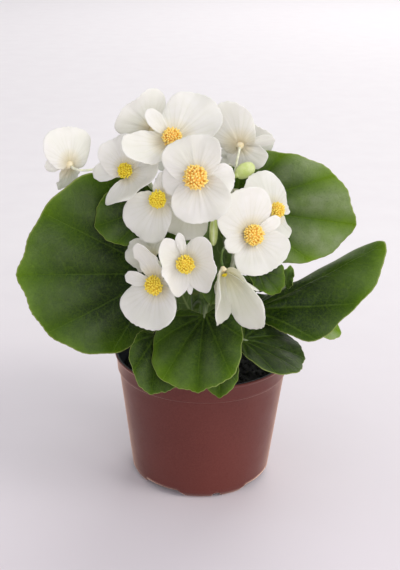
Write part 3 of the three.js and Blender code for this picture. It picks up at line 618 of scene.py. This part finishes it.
def smooth_path(knots, count=400):
    """The centripetal curve through the knots, as points at even distances."""
    knots = np.asarray(knots, float)
    knots = np.vstack([2 * knots[0] - knots[1], knots, 2 * knots[-1] - knots[-2]])
    samples = []
    for a, b, c, d in zip(knots, knots[1:], knots[2:], knots[3:]):
        before, here, after = (np.linalg.norm(q - p) ** 0.5 for p, q in ((a, b), (b, c), (c, d)))
        leave = ((b - a) / before - (c - a) / (before + here) + (c - b) / here) * here
        arrive = ((c - b) / here - (d - b) / (here + after) + (d - c) / after) * here
        t = np.linspace(0, 1, 120)[:, None]
        samples.append(
            (2 * t**3 - 3 * t**2 + 1) * b + (t**3 - 2 * t**2 + t) * leave
            + (3 * t**2 - 2 * t**3) * c + (t**3 - t**2) * arrive
        )
    line = np.concatenate(samples)
    run = np.concatenate([[0], np.cumsum(np.linalg.norm(np.diff(line, axis=0), axis=1))])
    even = np.linspace(0, run[-1], count)
    return np.stack([np.interp(even, run, line[:, axis]) for axis in range(3)], axis=1)


def point_at(path, share):
    return path[round(share * (len(path) - 1))]


# Blades.


def margin_radius(blade, angle):
    """Distance from a blade's centre to its margin, at an angle from the midrib."""
    back = blade["centre"] * blade["length"]
    reach = np.where(np.cos(angle) > 0, blade["length"] - back, back + blade["lobe"])
    side = blade["width"] / 2 * (1 + np.sign(np.sin(angle)) * blade["skew"])
    power = blade["squareness"]
    along = np.abs(np.cos(angle) / reach) ** power
    across = np.abs(np.sin(angle) / side) ** power
    even = (along + across) ** (-1 / power)
    tip = np.exp(-((angle / BLADE.point) ** 2))
    notch = np.exp(-(((math.pi - np.abs(angle)) / BLADE.notch) ** 2))
    pointed = even * (1 + blade["point"] * tip) / (1 + blade["point"])
    radius = pointed + (back - pointed) * notch
    radius = radius * (1 + blade["tooth"] * np.cos(blade["teeth"] * angle) * (1 - notch))
    small_teeth = round(math.pi * (blade["width"] + blade["length"]) / 2 / BLADE.tooth)
    wobble = np.cos(small_teeth * angle + 1.5 * np.sin(3 * angle)) * (0.6 + 0.4 * np.sin(2 * angle + 1)) - 1
    return radius + blade["crenation"] * wobble * (1 - notch) - BLADE.inset


def lift_points(blade, x, y, share, angle):
    """Lifts flat points of the blade: its halves fold and cup, its margin ripples, its length bends."""
    half = blade["width"] / 2
    cup = np.radians(np.where(y > 0, blade["cup"][0], blade["cup"][1]))
    step = np.abs(y) / BLADE.steps
    across = np.zeros_like(x)
    height = np.zeros_like(x)
    for i in range(BLADE.steps):
        out = step * (i + 0.5) / half
        tilt = math.radians(blade["fold"]) * np.tanh(out / BLADE.fold) + cup * out
        across += step * np.cos(tilt)
        height += step * np.sin(tilt)
    height += blade["wave"] * share**4 * np.sin(blade["waves"] * angle + blade["phase"])
    bend = math.radians(blade["bend"])
    turn = bend * x / blade["length"]
    arc = blade["length"] / bend
    lifted = [(arc + height) * np.sin(turn), np.sign(y) * across, (arc + height) * np.cos(turn) - arc]
    return np.stack(lifted, axis=1)


def add_blade(shape, matrix, blade, relief, slot=0):
    """Adds a blade's two skins and its rim. relief(x, y, share) is how far both swell over the middle."""
    rings, sides = blade["rings"], blade["sides"]
    step = np.repeat(np.arange(1, rings + 1) / rings, sides)
    share = np.concatenate([[0.0], 1 - (1 - step) ** 1.15])
    angle = np.concatenate([[0.0], np.tile(2 * math.pi * np.arange(sides) / sides - math.pi, rings)])
    radius = share * margin_radius(blade, angle)
    x = blade["centre"] * blade["length"] + radius * np.cos(angle)
    t = np.clip(x / (BLADE.widening * blade["length"]), 0, 1)
    widening = t * t * (3 - 2 * t)
    y = radius * np.sin(angle) * (blade["neck"] + (1 - blade["neck"]) * widening)
    middle = lift_points(blade, x, y, share, angle)
    nudge = 0.05
    ahead = lift_points(blade, x + nudge, y, share, angle) - middle
    leftward = lift_points(blade, x, y + nudge, share, angle) - middle
    normal = np.cross(ahead, leftward)
    normal /= np.linalg.norm(normal, axis=1)[:, None]
    margin = blade["margin"]
    half = (margin + (blade["thickness"] - margin) * (1 - share**3)) / 2
    rounded = np.where(share > 0.999, BLADE.rim, 1.0)
    swelling = relief(x, y, share)
    top = middle + normal * (half * rounded + swelling)[:, None]
    bottom = middle - normal * (half * rounded - swelling)[:, None]
    count = len(x)
    faces = [(0, a, b) for a, b in around(1, sides)]
    faces += [face[::-1] for face in ring_faces(rings, sides, 1)]
    faces += [tuple(count + i for i in reversed(face)) for face in faces]
    faces += [(a, count + a, count + b, b) for a, b in around(count - sides, sides)]
    both = {"along": x, "across": y, "rim": share, "far": np.hypot(x, y) / blade["length"]}
    values = {name: np.tile(value, 2) for name, value in both.items()}
    values["under"] = np.repeat([0, 1], count)
    values.update({name: blade.get(name, 0) for name in ("tone", "green")})
    shape.add(placed(np.concatenate([top, bottom]), matrix), faces, slot, **values)


# Leaves.

LEAF_VALUES = ("along", "across", "rim", "far", "under", "tone", "age", "joint")


def leaf_matrix(form):
    """The leaf's frame: its midrib leaves the root so that the bent blade ends at the tip."""
    root, tip = Vector(form["root"]), Vector(form["tip"])
    chord = (tip - root).normalized()
    left = Vector((0, 0, 1)).cross(chord).normalized()
    left.rotate(Matrix.Rotation(math.radians(form["roll"]), 3, chord))
    ahead = chord.copy()
    ahead.rotate(Matrix.Rotation(-math.radians(form["bend"]) / 2, 3, left))
    return frame_matrix(ahead, left, ahead.cross(left), root)


def leaf_relief(blade):
    """Main veins that spread from the root, and a blade that swells between them."""

    def relief(x, y, share):
        reach = np.hypot(x, y)
        order = (np.abs(np.degrees(np.arctan2(y, x))) / VEINS.spread) ** VEINS.crowding
        off = np.abs(order - np.round(order))
        width = 0.12 + 0.5 / (1 + reach / 8)
        furrow = np.exp(-((off / width) ** 2)) * np.clip((1.02 - share) / 0.12, 0, 1)
        swell = np.sin(math.pi * np.clip(off, 0, 0.5)) ** 2 * np.clip(reach / 20, 0, 1) * (1 - share**6)
        scale = min(1.0, (blade["length"] / VEINS.full_length) ** 2)
        ripple = 0.3 * np.sin(x / 4.2 + np.sin(y / 5)) * np.sin(y / 3.7 + 1) * np.clip(reach / 15, 0, 1)
        return scale * (VEINS.swell * swell - VEINS.furrow * furrow + ripple * (1 - share**6))

    return relief


def add_leaf(shape, form, path, blade_slot, stalk_slot):
    """Adds a leaf's blade, and its petiole from its place on its stem's path."""
    matrix = leaf_matrix(form)
    half = math.radians(form["bend"]) / 2
    blade = {**form, "length": math.dist(form["tip"], form["root"]) * half / math.sin(half)}
    add_blade(shape, matrix, blade, leaf_relief(blade), blade_slot)
    p = PETIOLE
    axis = point_at(path, form["share"])
    root = np.array(form["root"], float)
    ahead = matrix[:3, 0]
    leaving = unit(unit(root - axis) + np.array([0, 0, p.rise]))
    end = root + p.reach * ahead - p.sink * matrix[:3, 2]
    t = np.linspace(0, 1, p.rows)
    swollen = 0.35 * np.exp(-((t / 0.12) ** 2))
    radii = p.radius * (1 + swollen - 0.62 * t**6) * (p.young_share if form["young"] else 1.0)
    stalk = link_path(axis, leaving, end, ahead, p.rows)
    add_stalk(shape, stalk, radii, p.sides, stalk_slot, age=0.75 - 0.35 * t)


def make_leaf(name, form, paths):
    shape = Shape(*LEAF_VALUES)
    add_leaf(shape, form, paths[form["stem"]], 0, 1)
    slot = "young_leaf" if form["young"] else "leaf"
    shape.piece(f"leaf_{name}_blade", [f"leaf_{name}"], slot, slot + "_skin", "stalk_skin")


# Blooms.


def bloom_matrix(bloom):
    """The bloom's frame: +Z is the way it faces, +X is up as its viewer sees it, and -Y is to their right."""
    azimuth, elevation = (math.radians(a) for a in bloom["facing"])
    level = math.cos(elevation)
    facing = Vector((level * math.cos(azimuth), level * math.sin(azimuth), math.sin(elevation)))
    up = (Vector((0, 0, 1)) - facing * facing.z).normalized()
    return frame_matrix(up, facing.cross(up), facing, bloom["at"])


def tepal_relief(blade):
    """Fine folds that spread from the root and fade before the margin."""
    seed = blade["clock"]

    def relief(x, y, share):
        reach = np.hypot(x, y)
        bearing = np.arctan2(y, x + 1.5)
        pleat = np.cos(13 * bearing + seed) + 0.6 * np.cos(29 * bearing + 2 * seed)
        pleat = pleat + 0.4 * np.sin(5 * bearing + reach / 3 + seed)
        fade = np.exp(-((reach / (0.7 * blade["length"])) ** 2)) * np.clip(reach / 4, 0, 1)
        broad = np.sin(3 * bearing + seed) * np.clip(reach / blade["length"], 0, 1) * (1 - share**8)
        return 0.22 * pleat * fade + 0.35 * broad

    return relief


def add_tepal(shape, matrix, blade):
    local = (
        Matrix.Rotation(-math.radians(blade["clock"]), 4, "Z")
        @ Matrix.Translation((TEPAL_ROOT_OUT, 0, 0))
        @ Matrix.Rotation(-math.radians(blade["lift"]), 4, "Y")
    )
    add_blade(shape, matrix @ np.array(local), blade, tepal_relief(blade))


def make_tepals(name, bloom):
    shape = Shape("along", "across", "far", "green")
    matrix = bloom_matrix(bloom)
    green = bloom.get("green", 0)
    for i, form in enumerate(bloom["large"]):
        add_tepal(shape, matrix, {**LARGE_TEPAL, "phase": 2 * i + bloom["at"][0], "green": green, **form})
    for i, form in enumerate(bloom["small"]):
        add_tepal(shape, matrix, {**SMALL_TEPAL, "phase": i, "green": green, **form})
    r = RECEPTACLE
    cone = [
        (0, -r.depth), (r.back_radius * 0.8, -r.depth), (r.back_radius, -r.depth * 0.9),
        (r.radius * 0.62, -r.depth * 0.5), (r.radius * 0.95, -r.depth * 0.15), (r.radius, 0.1),
        (r.radius * 0.6, r.crown * 0.8), (0, r.crown),
    ]
    points, faces = turned_shape(cone, 24)
    shape.add(placed(points, matrix), faces, 1)
    shape.piece(f"bloom_{name}_petals", [f"bloom_{name}_tepals"], "tepal", "tepal_skin", "receptacle_skin")


def anther(length, width, sides=7, rings=6):
    """Points, faces and tip values of one club-shaped pollen sac along +Z, from its foot."""
    profile = [(0, 0)]
    for i in range(1, rings):
        t = i / rings
        profile.append((width / 2 * math.sin(math.pi * t**1.6) ** 0.6, length * t))
    profile.append((0, length))
    points, faces = turned_shape(profile, sides)
    return points, faces, points[:, 2] / length


def make_stamens(name, bloom, seed):
    """A dome of pollen sacs, packed round a core on a short column."""
    rng = np.random.default_rng(seed)
    s = STAMENS
    shape = Shape("tip", "pollen")
    pollen = bloom.get("pollen", 0.7)
    raised = bloom_matrix(bloom) @ np.array(Matrix.Translation((0, 0, s.lift)))
    raised[:3, :3] *= bloom["dome"]
    span, high = s.radius * s.core, s.rise * s.core
    profile = [(0, 0), (1.5, 0), (1.1, 0.8)]
    for i in range(9, -1, -1):
        polar = s.spread * i / 9
        profile.append((span * math.sin(polar), s.middle + high * math.cos(polar)))
    points, faces = turned_shape(profile, 20)
    shape.add(placed(points, raised), faces, tip=0.4, pollen=pollen)
    golden = math.pi * (3 - math.sqrt(5))
    low = math.cos(s.spread)
    for i in range(s.count):
        cosine = 1 - (1 - low) * (i + 0.5) / s.count
        turn = golden * i + rng.uniform(-0.1, 0.1)
        sine = math.sqrt(1 - cosine**2)
        way = np.array([sine * math.cos(turn), sine * math.sin(turn), cosine])
        top = np.array([0, 0, s.middle]) + way * (s.radius, s.radius, s.rise) * rng.uniform(0.94, 1.16)
        length = rng.uniform(2.8, 3.4)
        lean = unit(way + rng.uniform(-0.34, 0.34, 3))
        points, faces, tips = anther(length, rng.uniform(1.0, 1.3))
        turned = np.array(Vector(lean).to_track_quat("Z", "Y").to_matrix())
        shape.add(placed(points @ turned.T + top - lean * length, raised), faces, tip=tips, pollen=pollen)
    name = f"bloom_{name}_stamens"
    shape.piece(name + "_tuft", [name], "stamen", "anther_skin")


def make_bud(name, bud):
    """Two tepals pressed together along a seam, on their cone."""
    shape = Shape("base")
    matrix = bloom_matrix(bud)
    length, width = bud["length"], bud["width"]
    polar = math.pi * np.arange(1, BUD.rings) / BUD.rings
    profile = [(0, -0.5), *zip(0.5 * np.sin(polar) ** 0.85, -0.5 * np.cos(polar)), (0, 0.5)]
    points, faces = turned_shape(profile, BUD.sides)
    turn = np.arctan2(points[:, 1], points[:, 0])
    seam = np.exp(-(((np.abs(np.abs(turn) - math.pi / 2) - math.pi / 2) / BUD.seam) ** 2))
    pinch = 1 - BUD.pinch * seam
    even = np.ones_like(pinch)
    points = points * np.stack([width * pinch, width * BUD.flatness * even, length * even], axis=1)
    points[:, 2] += length * BUD.sink
    shape.add(placed(points, matrix), faces, base=0.5 * seam)
    r = RECEPTACLE
    cone = [(0, -r.depth), (r.back_radius, -r.depth), (1.5, -0.6), (1.8, 0.3), (0, r.crown)]
    points, faces = turned_shape(cone, 20)
    shape.add(placed(points, matrix), faces)
    shape.piece(name + "_shell", [name], "young_leaf", "bud_skin")


# Stems, soil and pot.


def make_stem(name, stem, path):
    """A jointed stem, its flower stalk, the thin stalks from the fork to its blooms, and its small leaves."""
    shape = Shape(*LEAF_VALUES)
    run = np.linalg.norm(np.diff(path, axis=0), axis=1).sum()
    thin = path[np.linspace(0, len(path) - 1, STEM.rows).round().astype(int)]
    t = np.linspace(0, 1, STEM.rows)
    beat = t * run / STEM.joint_every + 0.3
    joint = np.exp(-(((beat - np.round(beat)) * STEM.joint_every / STEM.joint_reach) ** 2))
    radii = STEM.radius * (1.04 - 0.16 * t + 0.12 * joint)
    radii[-3:] *= (0.93, 0.75, 0.45)
    band = 0.45 * np.clip(joint - 0.6, 0, 1)
    add_stalk(shape, thin, radii, STEM.sides, age=1 - 0.6 * t, joint=band)

    start = point_at(path, STEM.fork_share)
    tangent = unit(path[-8] - path[-16])
    fork = np.array(stem["fork"], float)
    arriving = unit(fork - start)
    t = np.linspace(0, 1, PEDUNCLE.rows)
    stalk = link_path(start, tangent, fork + arriving, arriving, PEDUNCLE.rows)
    radii = PEDUNCLE.radius * (1.25 - 0.4 * t**0.5 + 0.25 * t**12)
    add_stalk(shape, stalk, radii, PEDUNCLE.sides, age=0.4 - 0.2 * t)

    t = np.linspace(0, 1, PEDICEL.rows)
    radii = PEDICEL.radius * (1.15 - 0.35 * t**0.5 + 0.5 * t**14)
    for bloom in (BLOOMS.get(key) or BUDS[key] for key in stem["blooms"]):
        matrix = bloom_matrix(bloom)
        facing = matrix[:3, 2]
        back = matrix[:3, 3] - facing * (RECEPTACLE.depth + PEDICEL.gap)
        outward = unit(unit(back - fork) + arriving)
        stalk = link_path(fork, outward, back, facing, PEDICEL.rows)
        # A bloom's own stalk-end value sets the colour at the end of its flower stalk; its darker green is
        # partly painted shade.
        age = 0.2 + (bloom.get("stalk_age", 0) - 0.2) * t
        add_stalk(shape, stalk, radii, PEDICEL.sides, age=age)

    for form in STEM_LEAVES:
        if form["stem"] == name:
            add_leaf(shape, form, path, 1, 0)
    shape.piece(f"stem_{name}_stalks", [f"stem_{name}"], "stem", "stalk_skin", "leaf_skin")


def pot_wall_radius(z):
    """Outer radius of the pot's tapered wall."""
    flare = (POT.band_radius - POT.base_radius) / (POT.band_z - POT.foot_height)
    return POT.base_radius + flare * (z - POT.foot_height)


def cut_height(angle, cut, radius):
    """How high an arch or a slot cuts into the pot's foot at each angle."""
    quarter = np.radians((np.degrees(angle) - cut.angle + 45) % 90 - 45)
    off = np.abs(quarter) * radius
    slope = (cut.width - cut.top_width) / 2
    return cut.height * np.clip((cut.width / 2 - off) / slope, 0, 1)


def make_pot():
    p = POT
    rim, pad, foot = p.rim_radius, p.pad_radius, p.foot_radius
    lip_z = p.height - p.lip_height
    step = p.band_radius + p.band_step
    foot_inside = foot - p.foot_width
    lining_lift = p.floor_lift + p.wall
    outer = [
        (0, 0), (pad - 0.4, 0), (pad, 0.15), (pad + p.pad_slope, p.floor_lift),
        (foot_inside - 1.2, p.floor_lift), (foot_inside - 0.8, p.floor_lift - 0.3), (foot_inside - 0.1, 0.3),
        (foot_inside + 0.3, 0), (foot - 0.5, 0), (foot - 0.1, 0.25), (foot + 0.8, 1.3),
        (p.base_radius - 0.45, 2.5), (p.base_radius, p.foot_height),
        *[(pot_wall_radius(z), z) for z in (6, 20, 40, 60, p.band_z - 0.5)],
        (p.band_radius + 0.1, p.band_z), (step - 0.2, p.band_z + 0.25), (step, p.band_z + 0.5),
        (step + 0.15, p.band_z + 2), (rim - 0.85, lip_z - 1.0), (rim - p.lip_round - 0.05, lip_z - 0.1),
        (rim - 0.12, lip_z + 0.2), (rim, lip_z + 0.5), (rim, p.height - 0.4), (rim - 0.12, p.height - 0.12),
        (rim - 0.45, p.height),
    ]
    inner = [
        (rim - p.lip_width + 0.3, p.height), (rim - p.lip_width, p.height - 0.3),
        (rim - p.lip_width - 0.2, lip_z), (step - p.wall, p.band_z + 0.6),
        (p.band_radius - p.wall, p.band_z - 0.4), (pot_wall_radius(30) - p.wall, 30),
        (p.base_radius - p.wall, lining_lift), (pad + p.pad_slope - p.lip_round, lining_lift),
        (pad - p.lip_round, p.wall), (0, p.wall),
    ]
    points, faces = turned_shape(outer + inner, p.sides)
    angle = np.arctan2(points[:, 1], points[:, 0])
    radius = np.hypot(points[:, 0], points[:, 1])
    low = (radius > foot_inside - 1.1) & (points[:, 2] < p.foot_height + 3) & (radius < pot_wall_radius(7))
    outside = np.arange(len(points)) // p.sides < len(outer) - 1
    for cut in (ARCH, DRAIN):
        lifted = np.maximum(points[:, 2], cut_height(angle, cut, foot))
        points[:, 2] = np.where(low & outside, lifted, points[:, 2])
    shape = Shape()
    shape.add(points, faces)
    shape.slots = [int(min(face) // p.sides >= len(outer) - 2) for face in faces]
    shape.piece("pot_shell", ["pot"], "pot", "pot_plastic", "pot_lining")


def soil_height(x, y, radius):
    """The soil's crowned, lumpy surface."""
    share = np.hypot(x, y) / radius
    lump = np.sin(0.31 * x + 1) * np.cos(0.27 * y) + 0.6 * np.sin(0.7 * x - 0.5 * y)
    return SOIL.wall_z + SOIL.crown * (1 - share**2) + SOIL.lump * lump


def make_soil():
    """Peat with a rough surface and loose crumbs."""
    rng = np.random.default_rng(11)
    radius = pot_wall_radius(SOIL.wall_z) - SOIL.inset
    turn = np.linspace(0, 2 * math.pi, SOIL.sides, endpoint=False)
    floor_z = POT.floor_lift + POT.wall + 0.3
    rows = [ring(pot_wall_radius(floor_z) - SOIL.inset, floor_z, turn)]
    for number in range(SOIL.rings, 0, -1):
        row = ring(radius * number / SOIL.rings, 0.0, turn)
        x, y = row[:, 0], row[:, 1]
        rough = [noise.fractal(Vector((a / 3, b / 3, 0)), 0.6, 2.2, 4) for a, b in zip(x, y)]
        height = soil_height(x, y, radius) + SOIL.rough * np.array(rough) - SOIL.sink
        rows.append(np.stack([x, y, height], axis=1))
    points = np.concatenate([*rows, [[0, 0, floor_z], [0, 0, soil_height(0, 0, radius) - SOIL.sink]]])
    shape = Shape()
    shape.add(points, closed_faces(SOIL.rings + 1, SOIL.sides))
    ball, ball_faces = turned_shape([(0, -1), (0.75, -0.6), (1, 0), (0.75, 0.6), (0, 1)], 7)
    for _ in range(SOIL.crumbs):
        size = rng.gamma(2.2, 0.42) + 0.3
        away = (radius - size - 0.5) * math.sqrt(rng.random())
        angle = rng.uniform(0, 2 * math.pi)
        x, y = away * math.cos(angle), away * math.sin(angle)
        jagged = ball * rng.uniform(0.7, 1.25, (len(ball), 1)) * size * rng.uniform(0.6, 1.0, 3)
        spun = np.array(Matrix.Rotation(rng.uniform(0, 6), 3, Vector(rng.normal(size=3)).normalized()))
        at = (x, y, soil_height(x, y, radius) - SOIL.sink + 0.25 * size)
        shape.add(jagged @ spun.T + at, ball_faces)
    shape.piece("soil_bed", ["soil"], "soil", "peat")


# The stage.


def make_stage():
    skin = Skin("floor_paper")
    depth = skin.add("SeparateXYZ", {"Vector": skin.place()}).outputs["Y"]
    # Painted shade: the floor is darker and more lilac towards the front, where less light reaches it, and
    # paler and more neutral far back.
    tint = skin.tinge((222, 214, 221), (236, 232, 234), depth, -0.25, 0.4)
    tint = skin.tinge(tint, (222, 216, 220), skin.noise(40, 3), 0.3, 0.7, 0.2)
    skin.fill(skin.surface, {"Base Color": tint, "Roughness": 0.75})
    mesh = bpy.data.meshes.new("floor")
    side = 30.0
    corners = [(-side, -side, 0), (side, -side, 0), (side, side, 0), (-side, side, 0)]
    mesh.from_pydata(corners, [], [(0, 1, 2, 3)])
    mesh.materials.append(skin.material)
    floor = new_object("floor", mesh)


def make_light(name, place, target, size, power, tint):
    light = bpy.data.lights.new(name, "AREA")
    light.size = size
    light.energy = power
    light.color = tint
    made = new_object(name, light)
    made.location = place
    made.rotation_euler = (Vector(target) - Vector(place)).to_track_quat("-Z", "Y").to_euler()


def make_lights():
    world = bpy.data.worlds.new("studio")
    world.use_nodes = True
    background = world.node_tree.nodes["Background"]
    background.inputs["Color"].default_value = (0.975, 0.97, 1.0, 1)
    background.inputs["Strength"].default_value = 0.6
    bpy.context.scene.world = world
    make_light("key", (1.5, -0.7, 1.5), (0, 0, 0.1), 0.9, 17.0, (1, 0.985, 0.96))
    make_light("front_fill", (0.4, -1.6, 0.6), (0, 0, 0.12), 1.2, 10.5, (0.98, 0.95, 1))
    make_light("backdrop", (1.0, 2.8, 2.2), (0.3, 1.0, 0), 2.4, 48.0, (1, 0.995, 0.98))


def make_camera():
    data = bpy.data.cameras.new("camera")
    data.sensor_width = 36
    data.lens = CAMERA.focal_pixels / CAMERA.long_side * data.sensor_width
    data.clip_start, data.clip_end = 0.01, 60
    camera = new_object("camera", data)
    place, target = Vector(CAMERA.place) * MM, Vector(CAMERA.target) * MM
    look = (target - place).to_track_quat("-Z", "Y").to_matrix().to_4x4()
    roll = Matrix.Rotation(math.radians(CAMERA.roll), 4, "Z")
    camera.matrix_world = Matrix.Translation(place) @ look @ roll
    bpy.context.scene.camera = camera


def make_skins():
    pot_plastic()
    pot_lining()
    peat()
    stalk_skin()
    leaf_skin()
    leaf_skin("young_leaf_skin", (38, 62, 18), (72, 104, 30), (126, 156, 52))
    tepal_skin()
    receptacle_skin()
    anther_skin()
    bud_skin()


def make_plant():
    paths = {name: smooth_path(stem["path"]) for name, stem in STEMS.items()}
    for name, stem in STEMS.items():
        make_stem(name, stem, paths[name])
    for name, form in LEAVES.items():
        make_leaf(name, form, paths)
    for seed, (name, bloom) in enumerate(BLOOMS.items()):
        make_tepals(name, bloom)
        make_stamens(name, bloom, seed)
    for name, bud in BUDS.items():
        make_bud(name, bud)


make_skins()
make_pot()
make_soil()
make_plant()
make_stage()
make_lights()
make_camera()
bpy.context.scene.view_settings.view_transform = "Standard"
